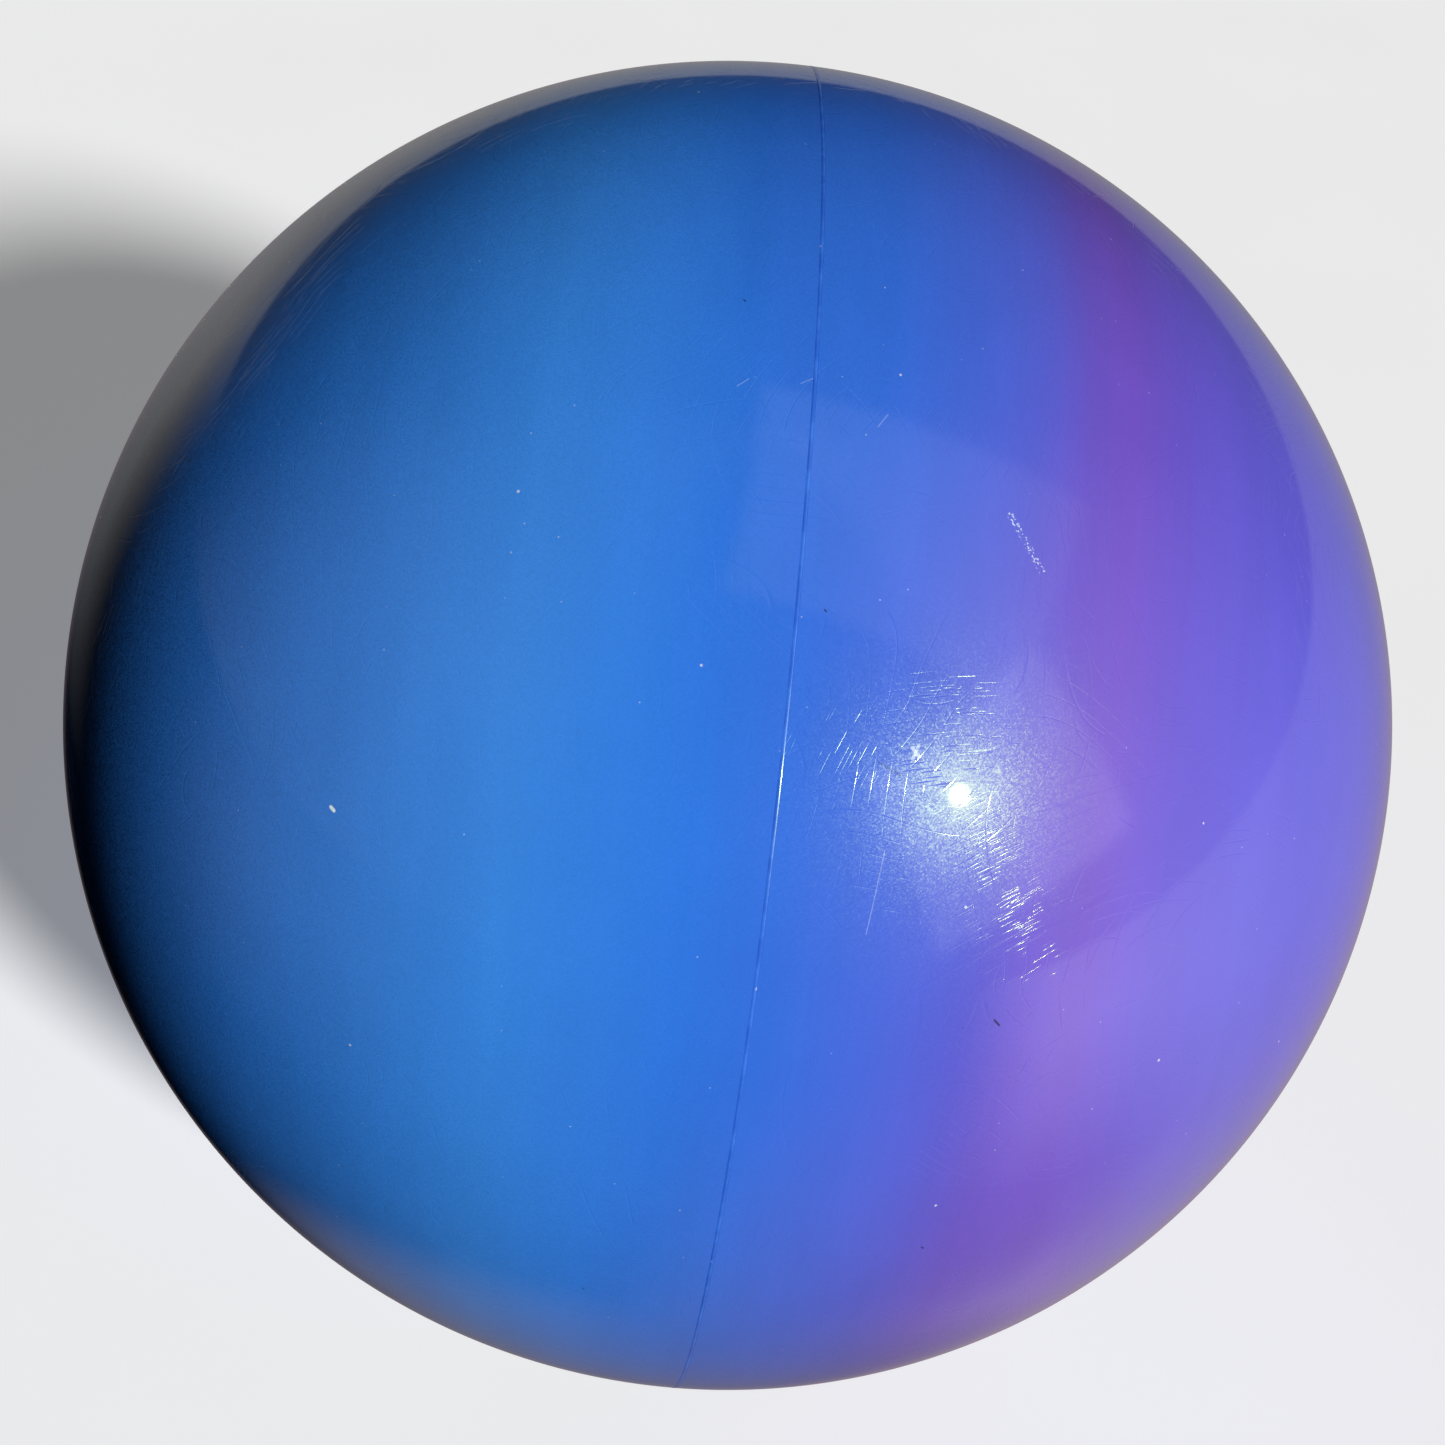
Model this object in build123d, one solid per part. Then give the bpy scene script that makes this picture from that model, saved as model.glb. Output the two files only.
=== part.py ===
from build123d import *
import os
from math import sqrt

# A hollow soft-vinyl stage juggling ball, in millimetres.
# The origin is the ball's centre. +X runs out through the valve, at the violet pole.
# The two half shells meet on the YZ plane, and +Z is up.

# Ball
BALL_R = 50.0
WALL = 5.5
CAVITY_R = BALL_R - WALL

# Joint of the two half shells: a tongue on the blue one sits in a rebate in the violet one.
TONGUE_R = 47.0
TONGUE_LENGTH = 3.0
TONGUE_CHAMFER = 0.4
WELD_GAP = 0.2
REBATE_DEPTH = TONGUE_LENGTH + WELD_GAP

# Weld bead, in a V groove round the outside of the joint
SEAM_HALF_WIDTH = 0.12
SEAM_DEPTH = 0.3
BEAD_CROWN = 0.03

# Boss that thickens the wall round the valve
BOSS_R = 9.0
BOSS_FACE_X = 40.0
BOSS_CHAMFER = 0.8

# Valve bush, pushed in from the inside before the halves are welded
BUSH_R = 4.5
BUSH_EDGE = 0.25
FLANGE_R = 7.5
FLANGE_THICKNESS = 1.5
FLANGE_CHAMFER = 0.3
BORE_R = 1.5
SEAT_R = 3.1
SEAT_X = 48.4
NOTCH_R = 1.0
NOTCH_Y = 3.1
NOTCH_DEPTH = 0.3

# Valve plug, lifted out by a fingernail in the bush's notch
RUNNING_GAP = 0.05
HEAD_R = SEAT_R - 2 * RUNNING_GAP
HEAD_EDGE = 0.2
SHANK_R = BORE_R - RUNNING_GAP
SHANK_TIP_X = 37.5
TIP_CHAMFER = 0.6


def across(radius, offset):
    """The other coordinate of a point on a circle about the origin."""
    return sqrt(radius**2 - offset**2)


def arc(radius, start, end):
    """The arc of a circle about the origin between two of its points."""
    middle = (Vector(*start) + Vector(*end)).normalized() * radius
    return ThreePointArc(start, middle, end)


def turned(*edges):
    """A closed section in the XY plane, turned once round the X axis."""
    return revolve(make_face(edges), Axis.X)


def groove_corners(side):
    """The weld groove's outer edge and its root, on the -X or +X side of the seam."""
    outer = (side * SEAM_HALF_WIDTH, across(BALL_R, SEAM_HALF_WIDTH))
    root = (0, BALL_R - SEAM_DEPTH)
    return outer, root


def blue_half_shell():
    """The plain half, -X, with the tongue that locates the other half."""
    pole = (-BALL_R, 0)
    inner_pole = (-CAVITY_R, 0)
    groove, root = groove_corners(-1)
    tongue_inner = (TONGUE_LENGTH, across(CAVITY_R, TONGUE_LENGTH))
    rim = Polyline(
        groove,
        root,
        (0, TONGUE_R),
        (TONGUE_LENGTH - TONGUE_CHAMFER, TONGUE_R),
        (TONGUE_LENGTH, TONGUE_R - TONGUE_CHAMFER),
        tongue_inner,
    )
    return turned(
        arc(BALL_R, pole, groove),
        *rim.edges(),
        arc(CAVITY_R, tongue_inner, inner_pole),
        Line(inner_pole, pole),
    )


def violet_half_shell():
    """The valve half, +X, with the rebate for the tongue and the valve's boss."""
    groove, root = groove_corners(1)
    rebate_inner = (REBATE_DEPTH, across(CAVITY_R, REBATE_DEPTH))
    boss_root = (across(CAVITY_R, BOSS_R), BOSS_R)
    valve_edge = (across(BALL_R, BUSH_R), BUSH_R)
    rim = Polyline(groove, root, (0, TONGUE_R), (REBATE_DEPTH, TONGUE_R), rebate_inner)
    boss = Polyline(
        boss_root,
        (BOSS_FACE_X + BOSS_CHAMFER, BOSS_R),
        (BOSS_FACE_X, BOSS_R - BOSS_CHAMFER),
        (BOSS_FACE_X, BUSH_R),
        valve_edge,
    )
    return turned(
        *rim.edges(),
        arc(CAVITY_R, rebate_inner, boss_root),
        *boss.edges(),
        arc(BALL_R, valve_edge, groove),
    )


def seam_bead():
    """The weld bead: it fills the V groove and stands just proud of the ball."""
    low_edge, root = groove_corners(-1)
    high_edge = groove_corners(1)[0]
    crown = (0, BALL_R + BEAD_CROWN)
    return turned(
        ThreePointArc(low_edge, crown, high_edge),
        Line(high_edge, root),
        Line(root, low_edge),
    )


def valve_bush():
    """The rubber bush: inner flange, body in the shell, bore, seat for the plug's head and notch."""
    flange_x = BOSS_FACE_X - FLANGE_THICKNESS
    edge_r = BUSH_R - BUSH_EDGE
    seat_edge = (across(BALL_R, SEAT_R), SEAT_R)
    outer_edge = (across(BALL_R, edge_r), edge_r)
    outside = Polyline(
        outer_edge,
        (outer_edge[0] - BUSH_EDGE, BUSH_R),
        (BOSS_FACE_X, BUSH_R),
        (BOSS_FACE_X, FLANGE_R),
        (flange_x + FLANGE_CHAMFER, FLANGE_R),
        (flange_x, FLANGE_R - FLANGE_CHAMFER),
        (flange_x, BORE_R),
        (SEAT_X, BORE_R),
        (SEAT_X, SEAT_R),
        seat_edge,
    )
    bush = turned(arc(BALL_R, seat_edge, outer_edge), *outside.edges())
    notch_length = BALL_R - SEAT_X + NOTCH_DEPTH
    notch_plane = Plane(origin=(SEAT_X - NOTCH_DEPTH, NOTCH_Y, 0), z_dir=(1, 0, 0))
    notch = extrude(notch_plane * Circle(NOTCH_R), notch_length)
    return bush - notch


def valve_plug():
    """The plug: a head flush with the ball and a round-tipped shank down the bush's bore."""
    head_edge_r = HEAD_R - HEAD_EDGE
    head_edge = (across(BALL_R, head_edge_r), head_edge_r)
    head_x = SEAT_X + RUNNING_GAP
    outline = Polyline(
        head_edge,
        (head_edge[0] - HEAD_EDGE, HEAD_R),
        (head_x + HEAD_EDGE, HEAD_R),
        (head_x, head_edge_r),
        (head_x, SHANK_R),
        (SHANK_TIP_X + TIP_CHAMFER, SHANK_R),
        (SHANK_TIP_X, SHANK_R - TIP_CHAMFER),
        (SHANK_TIP_X, 0),
        (BALL_R, 0),
    )
    return turned(arc(BALL_R, (BALL_R, 0), head_edge), *outline.edges())


PIECES = {
    "blue_half_shell": blue_half_shell,
    "violet_half_shell": violet_half_shell,
    "seam_bead": seam_bead,
    "valve_bush": valve_bush,
    "valve_plug": valve_plug,
}

os.makedirs("parts", exist_ok=True)
for name, make_piece in PIECES.items():
    export_step(make_piece(), f"parts/{name}.step")
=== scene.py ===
import math

import bmesh
import bpy
from mathutils import Matrix, Vector, noise


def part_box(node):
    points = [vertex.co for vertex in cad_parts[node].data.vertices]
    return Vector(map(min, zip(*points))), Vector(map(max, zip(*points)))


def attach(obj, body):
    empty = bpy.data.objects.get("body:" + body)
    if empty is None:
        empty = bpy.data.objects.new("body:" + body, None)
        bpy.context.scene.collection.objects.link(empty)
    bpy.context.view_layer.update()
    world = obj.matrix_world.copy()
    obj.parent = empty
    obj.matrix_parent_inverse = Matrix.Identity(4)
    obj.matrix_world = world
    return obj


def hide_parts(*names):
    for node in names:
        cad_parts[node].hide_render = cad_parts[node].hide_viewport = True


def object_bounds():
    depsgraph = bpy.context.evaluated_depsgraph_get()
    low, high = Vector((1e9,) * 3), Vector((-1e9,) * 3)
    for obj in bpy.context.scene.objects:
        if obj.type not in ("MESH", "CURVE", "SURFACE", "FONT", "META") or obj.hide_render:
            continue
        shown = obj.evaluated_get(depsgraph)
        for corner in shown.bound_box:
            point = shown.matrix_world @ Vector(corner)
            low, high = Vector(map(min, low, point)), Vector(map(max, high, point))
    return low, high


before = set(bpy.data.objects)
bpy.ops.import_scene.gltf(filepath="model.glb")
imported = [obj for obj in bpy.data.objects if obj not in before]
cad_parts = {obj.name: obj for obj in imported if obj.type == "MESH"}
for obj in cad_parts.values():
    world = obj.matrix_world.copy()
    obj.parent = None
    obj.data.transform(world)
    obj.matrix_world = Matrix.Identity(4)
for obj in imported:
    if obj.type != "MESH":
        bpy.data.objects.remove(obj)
cad_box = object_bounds()

MM = 0.001

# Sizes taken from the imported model, in metres
ball_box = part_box("blue_half_shell")
bead_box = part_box("seam_bead")
bush_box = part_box("valve_bush")
plug_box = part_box("valve_plug")
BALL_R = -ball_box[0].x
TONGUE_LENGTH = ball_box[1].x
FLOOR_Z = cad_box[0].z
BEAD_CROWN = min(-bead_box[0].y, bead_box[1].y, -bead_box[0].z, bead_box[1].z) - BALL_R
BEAD_HALF_WIDTH = bead_box[1].x
FLANGE_X = bush_box[0].x
FLANGE_R = bush_box[1].z
SHANK_TIP_X = plug_box[0].x
HEAD_R = plug_box[1].z

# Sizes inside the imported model
WALL = 5.5 * MM
CAVITY_R = BALL_R - WALL
TONGUE_R = 47 * MM
TONGUE_CHAMFER = 0.4 * MM
REBATE_DEPTH = 3.2 * MM
GROOVE_DEPTH = 0.3 * MM
BOSS_R = 9 * MM
BOSS_FACE_X = 40 * MM
BOSS_CHAMFER = 0.8 * MM
BUSH_R = 4.5 * MM
BORE_R = 1.5 * MM
SEAT_R = 3.1 * MM
SEAT_X = 48.4 * MM
SHANK_R = 1.45 * MM
HEAD_X = 48.45 * MM
NOTCH_R = 1.0 * MM
NOTCH_Y = 3.1 * MM
NOTCH_X = 48.1 * MM

# The valve's finer shapes: the bevel round the bush's face, and the plug's edge and dimple
BUSH_BEVEL_WIDTH = 0.25 * MM
BUSH_BEVEL_DEPTH = 0.3 * MM
HEAD_TAPER = 0.1 * MM
HEAD_SIDE_HEIGHT = 1 * MM
DIMPLE_DEPTH = 0.25 * MM
DIMPLE_FLOOR_R = 0.8 * MM
DIMPLE_R = 1.2 * MM

# The weld bead: how far its edges sink below the skin, how its crown's height is made up
# of an even part, swells and ripples, and how far the crown wanders sideways
BEAD_EDGE_DEPTH = 0.018 * MM
BEAD_EVEN_SHARE = 0.55
BEAD_SWELL_SHARE = 0.3
BEAD_RIPPLE_SHARE = 0.15
BEAD_SWELL_SCALE = 3
BEAD_RIPPLE_SCALE = 14
BEAD_WANDER_SHARE = 0.2
BEAD_WANDER_SCALE = 3

# Mesh fineness
SHELL_SEGMENTS = 384
OUTER_STEPS = 96
CAVITY_STEPS = 32
BEAD_SEGMENTS = 1440
BEAD_HALF_POINTS = 5
VALVE_SEGMENTS = 96
NOTCH_SEGMENTS = 48
SHARP_ANGLE = math.radians(35)
POLE_R = 1e-9

# Camera: it looks down on the ball from three ball radii away
CAMERA_DISTANCE = 3 * BALL_R
CAMERA_AZIMUTH = -4.84
CAMERA_ELEVATION = 43.1
CAMERA_ROLL = 9.27
CAMERA_LENS = 46.84
CAMERA_SHIFT = (-0.0035, 0.002)
CAMERA_CLIP = 0.01

# Where the lamps stand, from the ball's centre
LAMP_DISTANCE = 0.6

# Key light, which the skin's colour shows, and the spark that the gloss shows in its place
KEY_AZIMUTH = 37.4
KEY_ELEVATION = 29.75
KEY_STRENGTH = 4.4
KEY_ANGLE = 8
SPARK_POWER = 12.0
SPARK_R = 0.0095
SPARK_COLOUR = (0.80, 1.0, 0.2)
SPARK_CONE = 8.4
SPARK_CONE_BLEND = 0.4

# Fill light, from low down on the far side, where the camera does not see what it lights
FILL_AZIMUTH = -160
FILL_ELEVATION = -25
FILL_STRENGTH = 2.2
FILL_ANGLE = 30


def direction(azimuth, elevation):
    """The unit vector towards a place in the room, in degrees: azimuth 0 is -Y and 90 is +X."""
    turn = math.radians(azimuth)
    lift = math.radians(elevation)
    flat = math.cos(lift)
    return Vector((math.sin(turn) * flat, -math.cos(turn) * flat, math.sin(lift)))


def on_ball(latitude, around):
    """The unit vector to a place on the ball: latitude from the seam towards the valve,
    and degrees round the valve's axis from the top towards -Y."""
    lat = math.radians(latitude)
    turn = math.radians(around)
    return Vector((math.sin(lat), -math.cos(lat) * math.sin(turn), math.cos(lat) * math.cos(turn)))


def across(radius, offset):
    """The other coordinate of a point on a circle about the origin."""
    return math.sqrt(radius**2 - offset**2)


def arc(radius, start_x, end_x, steps):
    """Section points (x, r) of a ball-centred arc between two places along X."""
    start = math.acos(start_x / radius)
    end = math.acos(end_x / radius)
    angles = [start + (end - start) * i / steps for i in range(steps + 1)]
    return [(radius * math.cos(a), max(radius * math.sin(a), 0.0)) for a in angles]


# ---------------------------------------------------------------- meshes


def new_object(name, mesh):
    """An object in the scene that shows this mesh."""
    obj = bpy.data.objects.new(name, mesh)
    bpy.context.scene.collection.objects.link(obj)
    return obj


def lathe(name, section, segments):
    """A closed section of (x, r) points turned round the X axis. Points with r 0 are poles."""
    bm = bmesh.new()
    rings = []
    for x, r in section:
        if r < POLE_R:
            rings.append([bm.verts.new((x, 0, 0))] * segments)
            continue
        turns = [2 * math.pi * i / segments for i in range(segments)]
        rings.append([bm.verts.new((x, r * math.cos(t), r * math.sin(t))) for t in turns])
    for ring, following in zip(rings, rings[1:] + rings[:1]):
        for i in range(segments):
            j = (i + 1) % segments
            corners = dict.fromkeys((ring[i], ring[j], following[j], following[i]))
            if len(corners) > 2:
                bm.faces.new(list(corners))
    bmesh.ops.recalc_face_normals(bm, faces=bm.faces)
    return finish_mesh(name, bm)


def finish_mesh(name, bm):
    """Turns a bmesh into an object with smooth faces and crisp corners."""
    mesh = bpy.data.meshes.new(name)
    bm.to_mesh(mesh)
    bm.free()
    mesh.shade_smooth()
    mesh.set_sharp_from_angle(angle=SHARP_ANGLE)
    return new_object(name, mesh)


def rounded(corner, before, after, size, steps=4):
    """Points that round off a section's corner by about this size."""
    corner, before, after = (Vector(p) for p in (corner, before, after))
    start = corner + (before - corner).normalized() * size
    end = corner + (after - corner).normalized() * size
    points = []
    for i in range(steps + 1):
        t = i / steps
        points.append(tuple(start * (1 - t) ** 2 + corner * 2 * t * (1 - t) + end * t**2))
    return points


def softened(points, sizes):
    """An open section with its inner corners rounded. sizes has one entry a point, 0 to keep it."""
    section = []
    for i, point in enumerate(points):
        if sizes[i]:
            section += rounded(point, points[i - 1], points[i + 1], sizes[i])
        else:
            section.append(point)
    return section


def blue_shell():
    """The plain half: outer skin, groove edge, tongue and cavity."""
    groove_edge = -BEAD_HALF_WIDTH
    section = arc(BALL_R, -BALL_R, groove_edge, OUTER_STEPS)
    section += [
        (0, BALL_R - GROOVE_DEPTH),
        (0, TONGUE_R),
        (TONGUE_LENGTH - TONGUE_CHAMFER, TONGUE_R),
        (TONGUE_LENGTH, TONGUE_R - TONGUE_CHAMFER),
    ]
    section += arc(CAVITY_R, TONGUE_LENGTH, -CAVITY_R, CAVITY_STEPS)
    return lathe("blue_shell", section, SHELL_SEGMENTS)


def violet_shell():
    """The valve half: outer skin, groove edge, rebate, cavity and the boss round the bush."""
    section = arc(BALL_R, across(BALL_R, BUSH_R), BEAD_HALF_WIDTH, OUTER_STEPS)
    section += [
        (0, BALL_R - GROOVE_DEPTH),
        (0, TONGUE_R),
        (REBATE_DEPTH, TONGUE_R),
    ]
    section += arc(CAVITY_R, REBATE_DEPTH, across(CAVITY_R, BOSS_R), CAVITY_STEPS)
    section += [
        (BOSS_FACE_X + BOSS_CHAMFER, BOSS_R),
        (BOSS_FACE_X, BOSS_R - BOSS_CHAMFER),
        (BOSS_FACE_X, BUSH_R),
    ]
    return lathe("violet_shell", section, SHELL_SEGMENTS)


def bead_height(turn):
    """How proud the weld bead stands at this turn round the seam, as a share of its crown."""
    place = Vector((BEAD_SWELL_SCALE * math.cos(turn), BEAD_SWELL_SCALE * math.sin(turn), 0))
    swell = 0.5 + 0.5 * noise.noise(place)
    ripple = 0.5 + 0.5 * noise.noise(place * BEAD_RIPPLE_SCALE)
    return BEAD_EVEN_SHARE + BEAD_SWELL_SHARE * swell + BEAD_RIPPLE_SHARE * ripple


def weld_bead():
    """The bead in the groove: a crown that rises, falls and wanders a little between sunk edges."""
    bm = bmesh.new()
    rings = []
    for i in range(BEAD_SEGMENTS):
        turn = 2 * math.pi * i / BEAD_SEGMENTS
        place = Vector((2 * math.cos(turn), 2 * math.sin(turn), 7))
        crown = BEAD_CROWN * bead_height(turn)
        wander = BEAD_WANDER_SHARE * noise.noise(place * BEAD_WANDER_SCALE) * BEAD_HALF_WIDTH
        ring = []
        for step in range(-BEAD_HALF_POINTS, BEAD_HALF_POINTS + 1):
            t = step / BEAD_HALF_POINTS
            x = BEAD_HALF_WIDTH * t + wander * (1 - t * t)
            rise = (crown + BEAD_EDGE_DEPTH) * (1 - t * t) - BEAD_EDGE_DEPTH
            ring.append((x, across(BALL_R, x) + rise))
        ring.append((0, BALL_R - GROOVE_DEPTH))
        rings.append([bm.verts.new((x, r * math.cos(turn), r * math.sin(turn))) for x, r in ring])
    for ring, following in zip(rings, rings[1:] + rings[:1]):
        count = len(ring)
        for i in range(count):
            j = (i + 1) % count
            bm.faces.new((ring[i], ring[j], following[j], following[i]))
    bmesh.ops.recalc_face_normals(bm, faces=bm.faces)
    return finish_mesh("weld_bead", bm)


def cut_with(piece, cutter):
    """Takes the cutter's shape out of the piece, for good."""
    modifier = piece.modifiers.new("cut", "BOOLEAN")
    modifier.object = cutter
    modifier.solver = "EXACT"
    evaluated = piece.evaluated_get(bpy.context.evaluated_depsgraph_get())
    mesh = bpy.data.meshes.new_from_object(evaluated)
    piece.modifiers.clear()
    piece.data = mesh
    mesh.shade_smooth()
    mesh.set_sharp_from_angle(angle=SHARP_ANGLE)
    bpy.data.objects.remove(cutter)


def bush():
    """The rubber bush: flange inside, body through the wall, seat for the plug's head and notch."""
    face_r = BUSH_R - BUSH_BEVEL_WIDTH
    body = [
        (across(BALL_R, SEAT_R), SEAT_R),
        (across(BALL_R, face_r), face_r),
        (across(BALL_R, face_r) - BUSH_BEVEL_DEPTH, BUSH_R),
        (BOSS_FACE_X, BUSH_R),
        (BOSS_FACE_X, FLANGE_R),
        (FLANGE_X, FLANGE_R),
        (FLANGE_X, BORE_R),
        (SEAT_X, BORE_R),
        (SEAT_X, SEAT_R),
        (across(BALL_R, SEAT_R), SEAT_R),
    ]
    rounding = [0, 0.1 * MM, 0, 0, 0.3 * MM, 0.3 * MM, 0.2 * MM, 0.2 * MM, 0.1 * MM, 0]
    section = softened(body, rounding)[:-1]
    piece = lathe("bush", section, VALVE_SEGMENTS)
    past_skin = BALL_R + 1 * MM
    notch = [(NOTCH_X, 0), (NOTCH_X, NOTCH_R), (past_skin, NOTCH_R), (past_skin, 0)]
    cutter = lathe("notch_cutter", notch, NOTCH_SEGMENTS)
    cutter.location = (0, NOTCH_Y, 0)
    cut_with(piece, cutter)
    return piece


def plug():
    """The plug: a crowned head flush with the ball, with a small dimple, and a round-tipped shank."""
    edge_r = HEAD_R - HEAD_TAPER
    outline = [
        (BALL_R - DIMPLE_DEPTH, 0),
        (BALL_R - DIMPLE_DEPTH, DIMPLE_FLOOR_R),
        (across(BALL_R, DIMPLE_R), DIMPLE_R),
        (across(BALL_R, edge_r), edge_r),
        (HEAD_X + HEAD_SIDE_HEIGHT, HEAD_R),
        (HEAD_X, HEAD_R),
        (HEAD_X, SHANK_R),
        (SHANK_TIP_X, SHANK_R),
        (SHANK_TIP_X, 0),
    ]
    rounding = [0, 0.15 * MM, 0.15 * MM, 0.2 * MM, 0, 0.2 * MM, 0.1 * MM, 0.7 * MM, 0]
    section = softened(outline, rounding)
    return lathe("plug", section, VALVE_SEGMENTS)


# ---------------------------------------------------------------- materials


class Shader:
    """A material's node tree, with short ways to add nodes and join them."""

    def __init__(self, name):
        self.material = bpy.data.materials.new(name)
        self.material.use_nodes = True
        self.tree = self.material.node_tree
        self.surface = self.tree.nodes["Principled BSDF"]

    def add(self, kind, inputs=None, **settings):
        """Adds a node. inputs maps input names or numbers to values or sockets."""
        node = self.tree.nodes.new("ShaderNode" + kind)
        for key, value in settings.items():
            setattr(node, key, value)
        for key, value in (inputs or {}).items():
            self.feed(node.inputs[key], value)
        return node

    def feed(self, socket, value):
        """Joins a socket to this input, or sets its value."""
        if isinstance(value, bpy.types.NodeSocket):
            self.tree.links.new(value, socket)
        else:
            socket.default_value = value

    def math(self, operation, *values, clamp=False):
        """The result of a Math node."""
        node = self.add("Math", dict(enumerate(values)), operation=operation, use_clamp=clamp)
        return node.outputs[0]

    def vector(self, operation, *values):
        """The result of a Vector Math node: a vector, or a number for a dot product or distance."""
        node = self.add("VectorMath", dict(enumerate(values)), operation=operation)
        return node.outputs["Value" if operation in ("DOT_PRODUCT", "DISTANCE", "LENGTH") else "Vector"]

    def scaled(self, vector, factor):
        """A vector times a number."""
        node = self.add("VectorMath", {0: vector, "Scale": factor}, operation="SCALE")
        return node.outputs["Vector"]

    def mapped(self, value, low, high, to_low=0.0, to_high=1.0, smooth=True):
        """A value's range turned into another, with clamped ends."""
        inputs = {
            "Value": value,
            "From Min": low,
            "From Max": high,
            "To Min": to_low,
            "To Max": to_high,
        }
        kind = "SMOOTHSTEP" if smooth else "LINEAR"
        return self.add("MapRange", inputs, interpolation_type=kind).outputs["Result"]

    def noise(self, vector, scale, detail=2.0, roughness=0.5):
        """A noise texture's value."""
        inputs = {"Vector": vector, "Scale": scale, "Detail": detail, "Roughness": roughness}
        return self.add("TexNoise", inputs).outputs["Fac"]

    def cells(self, vector, scale, dimensions="3D", output="Distance"):
        """A Voronoi texture: the distance to the nearest cell's point, or its random colour."""
        inputs = {"Vector": vector, "Scale": scale}
        return self.add("TexVoronoi", inputs, voronoi_dimensions=dimensions).outputs[output]

    def ramp(self, value, stops):
        """A colour ramp through (position, colour) stops."""
        node = self.add("ValToRGB", {"Fac": value})
        elements = node.color_ramp.elements
        while len(elements) < len(stops):
            elements.new(0.5)
        for element, (position, colour) in zip(elements, stops):
            element.position = position
            element.color = colour
        return node.outputs["Color"]

    def mix(self, factor, first, second, blend="MIX"):
        """Two colours mixed."""
        node = self.add("Mix", data_type="RGBA", blend_type=blend)
        self.feed(node.inputs["Factor"], factor)
        self.feed(node.inputs["A"], first)
        self.feed(node.inputs["B"], second)
        return node.outputs["Result"]

    def grey(self, level):
        """A grey colour of this level."""
        return self.add("CombineColor", {0: level, 1: level, 2: level}).outputs[0]

    def relief(self, height, distance, **normal):
        """The normal of a height times a distance in metres, on top of another Normal if given."""
        inputs = {"Height": height, "Distance": distance, **normal}
        return self.add("Bump", inputs).outputs[0]

    def millimetres(self):
        """The surface point in the part's own frame, in millimetres."""
        return self.scaled(self.add("TexCoord").outputs["Object"], 1 / MM)

    def set(self, **values):
        """Sets or joins the surface's inputs: spaces in their names are underscores here."""
        for key, value in values.items():
            self.feed(self.surface.inputs[key.replace("_", " ")], value)


def colour(red, green, blue):
    """A linear colour from screen values of 0 to 255."""
    screen = [v / 255 for v in (red, green, blue)]
    linear = [v / 12.92 if v <= 0.04045 else ((v + 0.055) / 1.055) ** 2.4 for v in screen]
    return (*linear, 1.0)


# The skin's two layers: satin vinyl with its own sheen, and a clear gloss over it
SKIN_ROUGHNESS = 0.31
RUBBED_ROUGHNESS = 0.16
SKIN_SPECULAR = 0.3
GLOSS_ROUGHNESS = 0.035

# The skin's slow waves, in mm high, and its grain of tiny facets: the spread of their tilts, on
# the plain skin and inside a rubbed scratch, and how many there are to a millimetre
WAVE_HEIGHT = 0.04
WAVE_SCALE = 0.045
FACET_TILT = 0.10
RUBBED_FACET_TILT = 0.02
FACET_SCALE = 13.0

# The skin's colour at each latitude, in degrees from the seam towards the valve
SKIN_COLOURS = [
    (-90, colour(44, 112, 202)),
    (-40, colour(46, 122, 220)),
    (-26, colour(54, 131, 226)),
    (-17, colour(58, 137, 230)),
    (-10, colour(54, 128, 228)),
    (-5, colour(47, 115, 218)),
    (1, colour(52, 106, 212)),
    (8, colour(70, 98, 206)),
    (13, colour(84, 90, 198)),
    (18, colour(102, 80, 188)),
    (22, colour(108, 77, 186)),
    (28, colour(98, 82, 194)),
    (36, colour(92, 85, 199)),
    (55, colour(84, 79, 212)),
    (90, colour(82, 77, 206)),
]

# Hairlines run along contours of slow noise fields: scale per mm and offset of each
HAIRLINE_FIELDS = [
    (0.028, (3.0, 17.0, -8.0)),
    (0.034, (-21.0, 4.0, 9.0)),
    (0.042, (13.0, -6.0, 30.0)),
    (0.05, (8.0, 25.0, -14.0)),
]

# How many contours a field has, a hairline's half width as a share of the gap between two, how
# finely the lines are broken up, their depth in mm, and the share of it that counts as polish
HAIRLINE_LEVELS = 46
HAIRLINE_WIDTH = 0.04
HAIRLINE_BREAK_SCALE = 0.26
HAIRLINE_DEPTH = 0.004
HAIRLINE_SHINE = 0.3

# Rubbed scratches are short dashes: cells per mm along and across them, how much they bow,
# their half width as a share of a cell, the depth in mm that the patches' shares refer to,
# and the share of it at which a dash is fully polished
DASHES_ALONG = 0.15
DASHES_ACROSS = 5.6
DASH_BOW = 0.012
DASH_WIDTH = 0.22
DASH_DEPTH = 0.017
POLISHED_SHARE = 0.15

# Rubbed patches of near-parallel dashes: (latitude, around) of the middle, radius in mm,
# the angle between the dashes and the seam's direction, and the share of the depth
RUBBED_PATCHES = [
    ((15.2, 54.8), 6.5, -62.0, 0.35),
    ((17.5, 58.5), 5.0, -58.0, 0.7),
    ((13.9, 53.2), 3.6, -60.0, 0.2),
    ((16.4, 56.6), 4.5, -63.0, 0.5),
    ((14.6, 54.2), 4.0, -64.5, 0.25),
    ((10.5, 45.5), 5.0, -80.0, 0.6),
    ((2.8, 47.5), 4.5, -22.0, 0.4),
    ((-35.0, -40.0), 12.0, 35.0, 0.6),
    ((40.0, 130.0), 10.0, -40.0, 0.6),
    ((-20.0, 170.0), 14.0, 70.0, 0.6),
]

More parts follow.
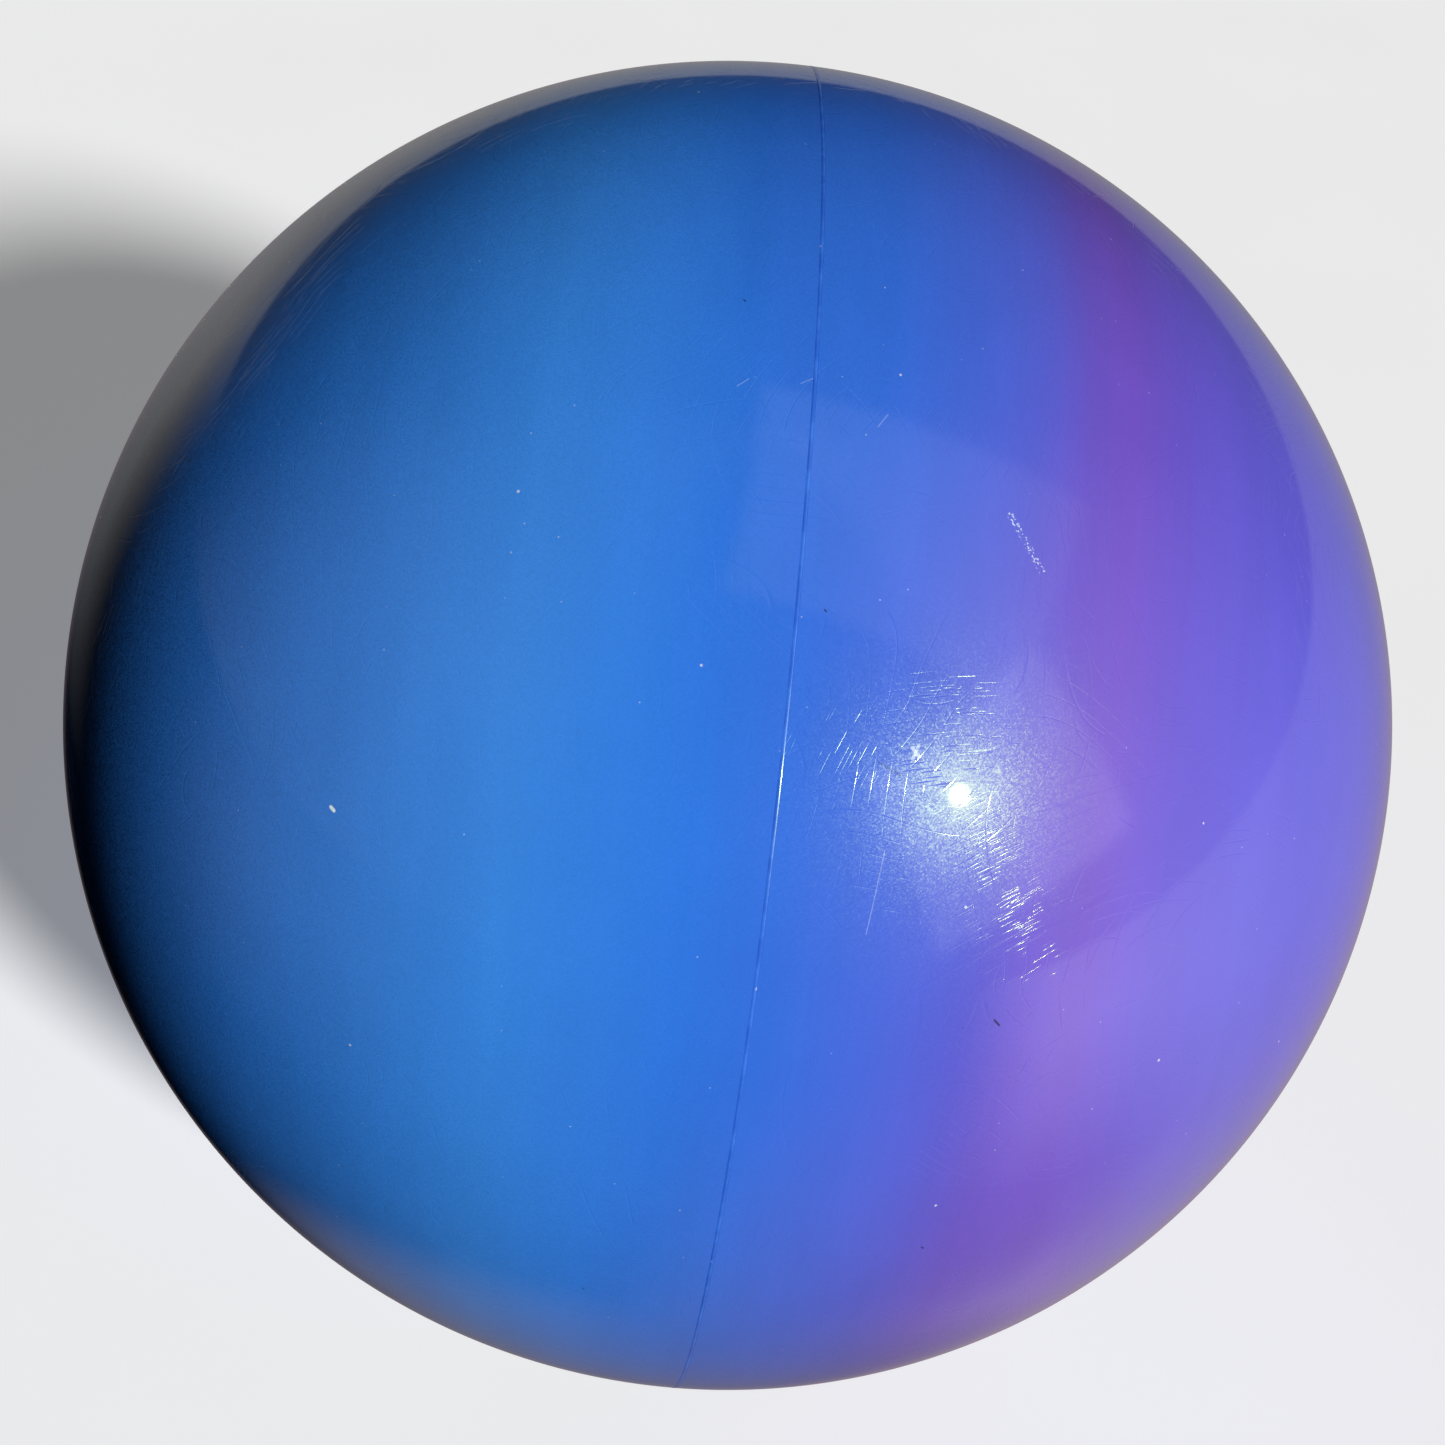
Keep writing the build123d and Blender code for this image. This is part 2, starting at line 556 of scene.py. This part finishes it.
# Single marks on the skin, two of them a painted glint beside the hot spot: start and end (latitude,
# around), half width in mm, strength and tone
PALE_TONE = (236, 250, 255)
DARK_TONE = (24, 30, 74)
MARKS = [
    ((-29.15, 55.85), (-28.9, 56.05), 0.15, 1.0, PALE_TONE),
    ((7.0, 53.5), (6.5, 59.0), 0.04, 0.16, PALE_TONE),
    ((-4.9, 24.8), (-4.2, 24.2), 0.045, 0.15, PALE_TONE),
    ((4.2, 26.6), (4.8, 25.6), 0.045, 0.15, PALE_TONE),
    ((-0.9, 24.2), (-0.1, 23.7), 0.045, 0.12, PALE_TONE),
    ((16.0, 64.8), (16.4, 65.2), 0.08, 0.95, DARK_TONE),
    ((6.0, 48.1), (7.5, 48.8), 0.05, 0.5, DARK_TONE),
    # These two pale marks are a painted glint: a cluster of the highlight's scratch glints, painted
    # into the skin's colour
    ((8.0, 47.0), (8.5, 47.5), 0.14, 0.4, PALE_TONE),
    ((8.4, 46.8), (8.1, 47.7), 0.12, 0.35, PALE_TONE),
    ((14.5, 85.0), (14.6, 85.1), 0.09, 0.8, DARK_TONE),
    ((-4.9, 18.0), (-4.8, 18.1), 0.07, 0.7, DARK_TONE),
    ((1.7, 39.1), (1.8, 39.2), 0.07, 0.75, DARK_TONE),
    ((-8.5, 92.0), (-8.4, 92.1), 0.07, 0.6, DARK_TONE),
]

# A grazed streak of fine pale dots: start, end and half width in mm
GRAZE = ((13.3, 31.1), (15.7, 34.5), 0.26)
GRAZE_STRENGTH = 0.6

# Dust: cells per mm, the outer and inner radius of a speck as shares of a cell, and strength
DUST = [(0.22, 0.026, 0.014, 0.7), (0.55, 0.036, 0.016, 0.4)]
DUST_COLOUR = colour(225, 225, 235)

# How far a mark or patch reaches past the seam at most, in degrees
REACH = 6.0


def place_on_ball(latitude, around):
    """A place on the skin, in millimetres."""
    return on_ball(latitude, around) * BALL_R / MM


def on_side(place, side):
    """Whether a (latitude, around) place is on this shell, or close enough to reach it."""
    return place[0] * side > -REACH


def hairlines(shader, point, scale, offset):
    """Curved hairlines, 1 along each line and 0 away from it, broken into lengths."""
    shifted = shader.vector("ADD", point, offset)
    field = shader.math("MULTIPLY", shader.noise(shifted, scale, 0.0), HAIRLINE_LEVELS)
    ripple = shader.math("PINGPONG", field, 0.5)
    line = shader.mapped(ripple, HAIRLINE_WIDTH, 0.0)
    breaks = shader.mapped(shader.noise(shifted, HAIRLINE_BREAK_SCALE, 2.0), 0.47, 0.64)
    return shader.math("MULTIPLY", line, breaks)


def hairline_depth(shader, point):
    """The depth of the hairlines, in millimetres, 0 between them."""
    depth = 0.0
    for scale, offset in HAIRLINE_FIELDS:
        line = hairlines(shader, point, scale, offset)
        depth = shader.math("MAXIMUM", depth, shader.math("MULTIPLY", line, HAIRLINE_DEPTH))
    return depth


def rubbed_patch(shader, point, middle, radius, slant):
    """Near-parallel dashes inside a soft-edged patch of the skin: 1 on a dash, 0 off it."""
    normal = on_ball(*middle)
    seamward = Vector((1, 0, 0)).cross(normal).normalized()
    run = Matrix.Rotation(math.radians(slant), 3, normal) @ seamward
    side = normal.cross(run)
    along = shader.vector("DOT_PRODUCT", point, tuple(run))
    beside = shader.vector("DOT_PRODUCT", point, tuple(side))
    bow = shader.math("MULTIPLY", shader.math("MULTIPLY", along, along), DASH_BOW)
    bowed = shader.math("SUBTRACT", beside, bow)
    cell_x = shader.math("MULTIPLY", along, DASHES_ALONG)
    cell_y = shader.math("MULTIPLY", bowed, DASHES_ACROSS)
    place = shader.add("CombineXYZ", {"X": cell_x, "Y": cell_y})
    distance = shader.cells(place.outputs[0], 1.0, dimensions="2D")
    line = shader.mapped(distance, DASH_WIDTH, 0.0)
    away = shader.vector("DISTANCE", point, tuple(place_on_ball(*middle)))
    depth = shader.mapped(shader.noise(point, 0.9, 1.0), 0.32, 0.62)
    inside = shader.mapped(away, radius, 0.45 * radius)
    return shader.math("MULTIPLY", line, shader.math("MULTIPLY", depth, inside))


def rubbed_depth(shader, point, side):
    """The depth of the dashes in the rubbed patches, in millimetres, 0 between and outside them."""
    depth = 0.0
    for middle, radius, slant, share in RUBBED_PATCHES:
        if on_side(middle, side):
            line = rubbed_patch(shader, point, middle, radius, slant)
            dash = shader.math("MULTIPLY", line, DASH_DEPTH * share)
            depth = shader.math("MAXIMUM", depth, dash)
    return depth


def near_segment(shader, point, start, end, half_width):
    """1 on a short line between two places on the skin, fading to 0 this half width from it.
    Distances are taken along the skin, so that the line does not sink below it."""
    first = place_on_ball(*start)
    run = place_on_ball(*end) - first
    offset = shader.vector("SUBTRACT", point, tuple(first))
    reach = shader.vector("DOT_PRODUCT", offset, tuple(run))
    share = shader.math("DIVIDE", reach, run.length_squared, clamp=True)
    nearest = shader.scaled(tuple(run), share)
    away = shader.vector("SUBTRACT", offset, nearest)
    beside = shader.vector("DOT_PRODUCT", away, tuple(first.cross(run).normalized()))
    beyond = shader.vector("DOT_PRODUCT", away, tuple(run.normalized()))
    flat = shader.add("CombineXYZ", {"X": beside, "Y": beyond})
    distance = shader.vector("LENGTH", flat.outputs[0])
    return shader.mapped(distance, half_width, 0.45 * half_width)


def marked(shader, point, skin, side):
    """The skin's colour with its single marks, among them a painted glint, the grazed streak and a
    scatter of dust.
    """
    for start, end, half_width, strength, tone in MARKS:
        if on_side(start, side):
            mark = near_segment(shader, point, start, end, half_width)
            skin = shader.mix(shader.math("MULTIPLY", mark, strength), skin, colour(*tone))
    start, end, half_width = GRAZE
    if on_side(start, side):
        streak = near_segment(shader, point, start, end, half_width)
        dots = shader.mapped(shader.noise(point, 7.0, 1.0), 0.52, 0.68, 0.0, GRAZE_STRENGTH)
        skin = shader.mix(shader.math("MULTIPLY", streak, dots), skin, colour(*PALE_TONE))
    dust = 0.0
    for scale, outer, inner, strength in DUST:
        speck = shader.mapped(shader.cells(point, scale), outer, inner, 0.0, strength)
        dust = shader.math("MAXIMUM", dust, speck)
    return shader.mix(dust, skin, DUST_COLOUR)


def faceted(shader, point, normal, tilt):
    """A normal with a grain of tiny facets, as on finely worn vinyl, and their spread of tilts."""
    facet = shader.cells(point, FACET_SCALE, output="Color")
    lean = shader.scaled(shader.vector("SUBTRACT", facet, (0.5, 0.5, 0.5)), tilt)
    return shader.vector("NORMALIZE", shader.vector("ADD", normal, lean))


def graded(shader, point):
    """The skin's colour by latitude. Its bands drift a little: near the top they lie closer to
    the valve, and lower down they lie closer to the seam and are wider."""
    parts = shader.add("SeparateXYZ", {"Vector": point}).outputs
    drift = shader.math("MULTIPLY", shader.math("SUBTRACT", shader.noise(point, 0.03, 2.0), 0.5), 1.6)
    high = shader.mapped(parts["Z"], 38.0, 48.0, 0.0, -3.2)
    low = shader.mapped(parts["Z"], 20.0, -5.0)
    swing = shader.math("MULTIPLY_ADD", low, 1.8, high)
    swing = shader.math("MULTIPLY", swing, shader.mapped(parts["X"], -3.0, 5.0))
    swing = shader.math("MULTIPLY", swing, shader.mapped(parts["X"], 22.0, 12.0))
    stretch = shader.math("MULTIPLY", low, shader.mapped(parts["X"], 15.0, 26.0, 0.0, -4.5))
    x = shader.math("ADD", parts["X"], drift)
    x = shader.math("ADD", x, shader.math("ADD", swing, stretch))
    share = shader.math("MULTIPLY_ADD", x, 0.5 * MM / BALL_R, 0.5)
    stops = [((1 + math.sin(math.radians(lat))) / 2, tone) for lat, tone in SKIN_COLOURS]
    return shader.ramp(share, stops)


def mottled(shader, point, skin):
    """The skin's colour with faint moulding bands along the seam and fainter clouds."""
    band_point = shader.vector("MULTIPLY", point, (0.32, 0.04, 0.04))
    bands = shader.mapped(shader.noise(band_point, 1.0, 3.0), 0.3, 0.7, 0.965, 1.03, smooth=False)
    clouds = shader.mapped(shader.noise(point, 0.16, 3.0), 0.3, 0.7, 0.975, 1.02, smooth=False)
    level = shader.math("MULTIPLY", bands, clouds)
    return shader.mix(1.0, skin, shader.grey(level), blend="MULTIPLY")


def vinyl(name, side):
    """The graded skin: satin vinyl, scratched where it was rubbed, under a clear gloss that
    shows only the waves and hairlines. The side is -1 for the blue shell and 1 for the violet."""
    shader = Shader(name)
    point = shader.millimetres()
    skin = mottled(shader, point, graded(shader, point))
    waves = shader.math("MULTIPLY", shader.noise(point, WAVE_SCALE, 1.0), WAVE_HEIGHT)
    fine = hairline_depth(shader, point)
    rubbed = rubbed_depth(shader, point, side)
    gloss = shader.relief(shader.math("SUBTRACT", waves, fine), MM)
    satin = shader.relief(shader.math("MULTIPLY", rubbed, -1.0), MM, Normal=gloss)
    worn = shader.math("MAXIMUM", rubbed, shader.math("MULTIPLY", fine, HAIRLINE_SHINE))
    polish = shader.mapped(worn, 0.0, POLISHED_SHARE * DASH_DEPTH, smooth=False)
    tilt = shader.mapped(polish, 0.0, 1.0, FACET_TILT, RUBBED_FACET_TILT, smooth=False)
    shader.set(
        Base_Color=marked(shader, point, skin, side),
        Roughness=shader.mapped(polish, 0.0, 1.0, SKIN_ROUGHNESS, RUBBED_ROUGHNESS, smooth=False),
        Specular_IOR_Level=SKIN_SPECULAR,
        Normal=faceted(shader, point, satin, tilt),
        Coat_Weight=1.0,
        Coat_Roughness=GLOSS_ROUGHNESS,
        Coat_Normal=gloss,
    )
    return shader.material


def weld_vinyl():
    """The weld bead: the same vinyl in two close tones and sheens, with a few pale flecks."""
    shader = Shader("weld_vinyl")
    point = shader.millimetres()
    patches = shader.mapped(shader.noise(point, 0.5, 3.0), 0.4, 0.65)
    tone = shader.mix(patches, colour(44, 98, 204), colour(56, 114, 218))
    flecks = shader.mapped(shader.cells(point, 0.4), 0.08, 0.04, 0.0, 0.6)
    tone = shader.mix(flecks, tone, colour(220, 228, 240))
    bumps = shader.relief(shader.noise(point, 3.0, 3.0), 0.012 * MM)
    shader.set(
        Base_Color=tone,
        Roughness=shader.mapped(patches, 0.0, 1.0, 0.28, 0.4),
        Specular_IOR_Level=0.3,
        Normal=bumps,
        Coat_Weight=0.6,
        Coat_Roughness=0.12,
    )
    return shader.material


def valve_rubber():
    """Satin moulded rubber with a fine grain in its colour, sheen and relief."""
    shader = Shader("valve_rubber")
    point = shader.millimetres()
    grain = shader.noise(point, 4.0, 4.0, 0.6)
    tone = shader.mix(shader.mapped(grain, 0.35, 0.7), colour(78, 72, 172), colour(92, 86, 188))
    bumps = shader.relief(grain, 0.03 * MM)
    shader.set(
        Base_Color=tone,
        Roughness=shader.mapped(grain, 0.3, 0.7, 0.42, 0.6),
        Normal=bumps,
    )
    return shader.material


def plug_vinyl():
    """Satin vinyl, a shade paler than the ball, with faint marks from being pushed home."""
    shader = Shader("plug_vinyl")
    point = shader.millimetres()
    cloud = shader.noise(point, 0.8, 3.0)
    tone = shader.mix(shader.mapped(cloud, 0.35, 0.65), colour(104, 96, 204), colour(118, 110, 214))
    rub = shader.noise(shader.vector("MULTIPLY", point, (1.0, 9.0, 1.5)), 1.4, 3.0)
    bumps = shader.relief(rub, 0.02 * MM)
    shader.set(
        Base_Color=tone,
        Roughness=shader.mapped(rub, 0.35, 0.7, 0.28, 0.45),
        Normal=bumps,
        Coat_Weight=0.3,
        Coat_Roughness=0.15,
    )
    return shader.material


# ---------------------------------------------------------------- the object

PIECES = [
    (blue_shell, "blue_half_shell", "ball", "blue_vinyl", vinyl("blue_vinyl", -1)),
    (violet_shell, "violet_half_shell", "ball", "violet_vinyl", vinyl("violet_vinyl", 1)),
    (weld_bead, "seam_bead", "ball", "weld_vinyl", weld_vinyl()),
    (bush, "valve_bush", "ball", "valve_rubber", valve_rubber()),
    (plug, "valve_plug", "plug", "plug_vinyl", plug_vinyl()),
]

for make_piece, node, body, slot, material in PIECES:
    piece = make_piece()
    piece.data.materials.clear()
    piece.data.materials.append(material)
    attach(piece, body)
    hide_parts(node)


# ---------------------------------------------------------------- the studio

FLOOR_R = 1.6
FLOOR_INNER_R = 0.3
FLOOR_SEGMENTS = 128
FLOOR_GLOW = 0.25
SWEEP_R = 0.8
SWEEP_STEPS = 24
WALL_RISE = 1.6
DOME_R = 3.0

# The world's light from below and from above the horizon, and how far they blend into each
# other on each side of it
FLOOR_LIGHT = 0.25
ROOM_LIGHT = 0.03
HORIZON_BLEND = 0.1


def floor_paper():
    """Matt pale paper with a faint mottle and a little glow of its own."""
    shader = Shader("floor_paper")
    mottle = shader.noise(shader.millimetres(), 0.02, 4.0)
    shader.set(
        Base_Color=shader.mix(mottle, (0.80, 0.80, 0.80, 1), (0.84, 0.84, 0.84, 1)),
        Roughness=0.9,
        Specular_IOR_Level=0.1,
        Emission_Color=(1, 1, 1, 1),
        Emission_Strength=FLOOR_GLOW,
    )
    return shader.material


def floor():
    """A pale round floor that sweeps up into a wall. It only shows to the camera: the dome and
    the world stand in for it in the gloss and in the light."""
    section = [(FLOOR_INNER_R, 0), (FLOOR_R, 0)]
    for i in range(1, SWEEP_STEPS + 1):
        turn = math.pi / 2 * i / SWEEP_STEPS
        section.append((FLOOR_R + SWEEP_R * math.sin(turn), SWEEP_R * (1 - math.cos(turn))))
    section.append((FLOOR_R + SWEEP_R, SWEEP_R + WALL_RISE))
    turns = [2 * math.pi * i / FLOOR_SEGMENTS for i in range(FLOOR_SEGMENTS)]
    bm = bmesh.new()
    centre = bm.verts.new((0, 0, FLOOR_Z))
    rings = []
    for r, z in section:
        rings.append([bm.verts.new((r * math.cos(t), r * math.sin(t), FLOOR_Z + z)) for t in turns])
    for i in range(FLOOR_SEGMENTS):
        j = (i + 1) % FLOOR_SEGMENTS
        bm.faces.new((centre, rings[0][i], rings[0][j]))
        for ring, following in zip(rings, rings[1:]):
            bm.faces.new((ring[i], following[i], following[j], ring[j]))
    obj = finish_mesh("floor", bm)
    obj.data.materials.append(floor_paper())
    obj.visible_glossy = False
    obj.visible_diffuse = False
    obj.visible_shadow = False


# What the gloss sees of the floor at each azimuth, far off and close by, and of the room above
# it: degrees and brightness
# In both floor lists, the dark stretch from about -124 to -95 is a painted shadow: the ball's own
# shadow cast on the floor
FLOOR_FAR = [
    (-180, 0.26),
    (-140, 0.29),
    (-124, 0.0),
    (-95, 0.0),
    (-75, 0.2),
    (-50, 0.16),
    (-35, 0.0),
    (36, 0.0),
    (50, 1.45),
    (67, 1.05),
    (97, 0.46),
    (130, 0.24),
    (180, 0.26),
]
FLOOR_NEAR = [
    (-180, 0.26),
    (-160, 0.12),
    (-142, 0.0),
    (-15, 0.0),
    (8, 0.2),
    (37, 0.12),
    (60, 0.22),
    (82, 0.4),
    (120, 0.34),
    (180, 0.26),
]
ROOM = [
    (-180, 0.0),
    (-115, 0.0),
    (-85, 0.22),
    (-60, 0.28),
    (-25, 0.0),
    (38, 0.0),
    (50, 0.55),
    (67, 0.55),
    (97, 0.22),
    (115, 0.03),
    (180, 0.0),
]

# The tint of the floor close by, and the painted shade of the floor right underneath the ball
FLOOR_NEAR_TINT = (1.08, 0.88, 0.96, 1)
PAINTED_SHADE_UNDERNEATH = (0.17, 0.145, 0.16, 1)

# Heights of the reflected room's borders, as the Z of a unit vector: where each begins and ends
NEAR_TO_FAR = (-0.62, -0.2)
NEAR_TO_UNDERNEATH = (-0.88, -0.97)
HORIZON = (-0.03, 0.005)
ROOM_FADE = (0.55, 0.9)
ROOM_TOP_SHARE = 0.35

# Two pale panels: (azimuth, elevation) of the middle, half width, half height and turn in
# degrees, and brightness
PANELS = [
    ((46, 25), 17, 15, 10, 0.8),
    ((60, 66), 17, 24, 25, 0.42),
]
PANEL_SOFTNESS = 0.03


def by_azimuth(shader, azimuth_share, stops):
    """A value that changes with the azimuth: the stops are (degrees, value)."""
    greys = [((degrees + 180) / 360, (value, value, value, 1)) for degrees, value in stops]
    return shader.ramp(azimuth_share, greys)


def panel(shader, towards, centre, half_width, half_height, turn, strength):
    """The brightness of a soft-edged pale panel in the room, 0 outside it."""
    middle = direction(*centre)
    level = Vector((0, 0, 1)).cross(middle).normalized()
    rolled = Matrix.Rotation(math.radians(turn), 3, middle) @ level
    upright = middle.cross(rolled)
    inside = strength
    for axis, half in ((rolled, half_width), (upright, half_height)):
        offset = shader.math("ABSOLUTE", shader.vector("DOT_PRODUCT", towards, tuple(axis)))
        edge = math.sin(math.radians(half))
        within = shader.mapped(offset, edge + PANEL_SOFTNESS, edge - PANEL_SOFTNESS)
        inside = shader.math("MULTIPLY", inside, within)
    front = shader.math("GREATER_THAN", shader.vector("DOT_PRODUCT", towards, tuple(middle)), 0.0)
    return shader.math("MULTIPLY", inside, front)


def floor_seen(shader, share, height):
    """The reflected floor: near it, far off and right underneath, with the ball's painted shadow on it
    and painted shade right under the ball.
    """
    far = by_azimuth(shader, share, FLOOR_FAR)
    near = by_azimuth(shader, share, FLOOR_NEAR)
    near = shader.mix(1.0, near, FLOOR_NEAR_TINT, blend="MULTIPLY")
    seen = shader.mix(shader.mapped(height, *NEAR_TO_FAR, smooth=False), near, far)
    return shader.mix(shader.mapped(height, *NEAR_TO_UNDERNEATH), seen, PAINTED_SHADE_UNDERNEATH)


def room_seen(shader, share, height):
    """The reflected room above the horizon, dimmer towards its top."""
    room = by_azimuth(shader, share, ROOM)
    fade = shader.mapped(height, *ROOM_FADE, 1.0, ROOM_TOP_SHARE)
    return shader.mix(1.0, room, shader.grey(fade), blend="MULTIPLY")


def room_glow():
    """The light of everything that the gloss reflects, by the direction from the ball."""
    shader = Shader("reflected_room")
    shader.tree.nodes.remove(shader.surface)
    towards = shader.vector("NORMALIZE", shader.add("TexCoord").outputs["Object"])
    parts = shader.add("SeparateXYZ", {"Vector": towards}).outputs
    height = parts["Z"]
    back = shader.math("MULTIPLY", parts["Y"], -1.0)
    azimuth = shader.math("ARCTAN2", parts["X"], back)
    share = shader.math("MULTIPLY_ADD", azimuth, 0.5 / math.pi, 0.5)
    above = shader.mapped(height, *HORIZON)
    seen = shader.mix(above, floor_seen(shader, share, height), room_seen(shader, share, height))
    panels = 0.0
    for settings in PANELS:
        panels = shader.math("ADD", panels, panel(shader, towards, *settings))
    seen = shader.mix(1.0, seen, shader.grey(panels), blend="ADD")
    glow = shader.add("Emission", {"Color": seen, "Strength": 1.0})
    output = shader.tree.nodes["Material Output"]
    shader.feed(output.inputs["Surface"], glow.outputs[0])
    shader.material.cycles.emission_sampling = "NONE"
    return shader.material


def reflected_room():
    """A dome that only the gloss sees: floor, horizon, soft room light and two pale panels."""
    bm = bmesh.new()
    bmesh.ops.create_icosphere(bm, subdivisions=5, radius=DOME_R)
    dome = finish_mesh("reflected_room", bm)
    dome.data.materials.append(room_glow())
    dome.visible_camera = False
    dome.visible_diffuse = False
    dome.visible_shadow = False
    dome.visible_transmission = False


def light(name, kind, energy, towards, **settings):
    """A lamp on this side of the ball, aimed at its centre and hidden from the camera."""
    lamp = bpy.data.lights.new(name, kind)
    lamp.energy = energy
    for key, value in settings.items():
        setattr(lamp, key, value)
    obj = new_object(name, lamp)
    obj.location = towards * LAMP_DISTANCE
    obj.rotation_mode = "QUATERNION"
    obj.rotation_quaternion = towards.to_track_quat("Z", "Y")
    obj.visible_camera = False
    return obj


def lights():
    """A soft key, its small bright reflection, and a fill from low down behind the ball."""
    towards_key = direction(KEY_AZIMUTH, KEY_ELEVATION)
    key = light("key", "SUN", KEY_STRENGTH, towards_key, angle=math.radians(KEY_ANGLE))
    key.visible_glossy = False
    spark = light("key_spark", "SPOT", SPARK_POWER, towards_key, shadow_soft_size=SPARK_R)
    spark.data.color = SPARK_COLOUR
    spark.data.spot_size = math.radians(SPARK_CONE)
    spark.data.spot_blend = SPARK_CONE_BLEND
    spark.visible_diffuse = False
    behind = direction(FILL_AZIMUTH, FILL_ELEVATION)
    fill = light("back_fill", "SUN", FILL_STRENGTH, behind, angle=math.radians(FILL_ANGLE))
    fill.visible_glossy = False


def room_light():
    """The dim light of the room: a little from above, more from the pale floor."""
    world = bpy.data.worlds.new("room")
    world.use_nodes = True
    tree = world.node_tree
    towards = tree.nodes.new("ShaderNodeTexCoord").outputs["Generated"]
    parts = tree.nodes.new("ShaderNodeSeparateXYZ")
    tree.links.new(towards, parts.inputs[0])
    level = tree.nodes.new("ShaderNodeMapRange")
    tree.links.new(parts.outputs["Z"], level.inputs["Value"])
    level.inputs["From Min"].default_value = -HORIZON_BLEND
    level.inputs["From Max"].default_value = HORIZON_BLEND
    level.inputs["To Min"].default_value = FLOOR_LIGHT
    level.inputs["To Max"].default_value = ROOM_LIGHT
    background = tree.nodes["Background"]
    tree.links.new(level.outputs["Result"], background.inputs["Strength"])
    bpy.context.scene.world = world


def camera():
    """The camera, at the photograph's viewing angle."""
    data = bpy.data.cameras.new("camera")
    data.lens = CAMERA_LENS
    data.shift_x, data.shift_y = CAMERA_SHIFT
    data.clip_start = CAMERA_CLIP
    obj = new_object("camera", data)
    back = direction(CAMERA_AZIMUTH, CAMERA_ELEVATION)
    obj.location = back * CAMERA_DISTANCE
    obj.rotation_mode = "QUATERNION"
    level = (-back).to_track_quat("-Z", "Y")
    roll = Matrix.Rotation(math.radians(CAMERA_ROLL), 3, "Z").to_quaternion()
    obj.rotation_quaternion = level @ roll
    bpy.context.scene.camera = obj


floor()
reflected_room()
lights()
room_light()
camera()
bpy.context.scene.view_settings.view_transform = "Standard"
